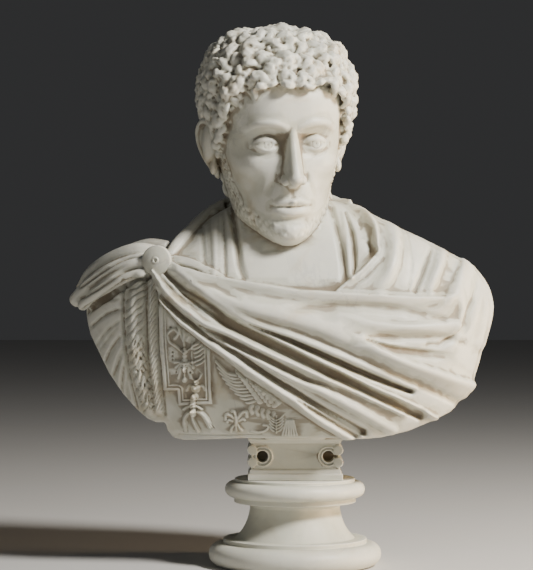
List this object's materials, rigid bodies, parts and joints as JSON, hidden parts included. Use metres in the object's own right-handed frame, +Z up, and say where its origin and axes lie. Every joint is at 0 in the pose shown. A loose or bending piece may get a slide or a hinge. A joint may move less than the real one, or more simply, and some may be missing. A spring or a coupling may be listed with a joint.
{
  "type": "portrait bust",
  "caption": "Marble Roman portrait bust in a clasped and fringed cloak over a relief breastplate, with a scrolled tablet, on a round turned foot.",
  "frame": {"origin": "centre of the round foot's underside", "axes": "+Z up through the head; the chest faces -Y; +X is the figure's left"},
  "size_m": [0.5653, 0.2747, 0.7214],
  "materials": {
    "bust_marble": "aged white marble, smoothed and waxed, stands in for stone",
    "base_marble": "aged white marble, smoothed and waxed, stands in for stone"
  },
  "bodies": {
    "root": {"bust": "bust_marble", "round_base": "base_marble"}
  },
  "joints": []
}
